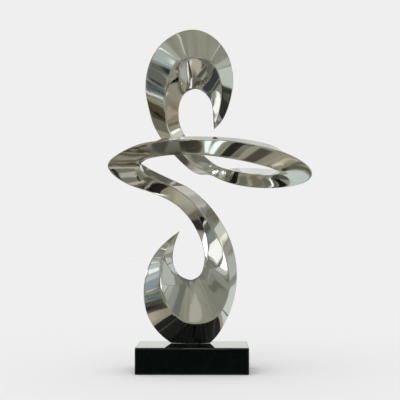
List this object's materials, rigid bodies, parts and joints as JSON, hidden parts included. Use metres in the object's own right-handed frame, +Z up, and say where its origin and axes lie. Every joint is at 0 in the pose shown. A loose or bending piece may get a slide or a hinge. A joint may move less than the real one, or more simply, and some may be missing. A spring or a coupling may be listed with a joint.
{
  "type": "abstract metal sculpture",
  "caption": "Abstract mirror-polished steel ribbon of triangular section that loops, bends in an S, circles as a flat ring and loops again, on a black rectangular plinth.",
  "frame": {"origin": "middle of the plinth's underside", "axes": "+Z up, +X to the viewer's right along the plinth's long side, -Y towards the viewer"},
  "size_m": [0.4044, 0.2238, 0.6904],
  "materials": {
    "steel": "mirror-polished stainless steel",
    "granite": "polished black granite"
  },
  "bodies": {
    "root": {"plinth": "granite", "ribbon": "steel"}
  },
  "joints": []
}
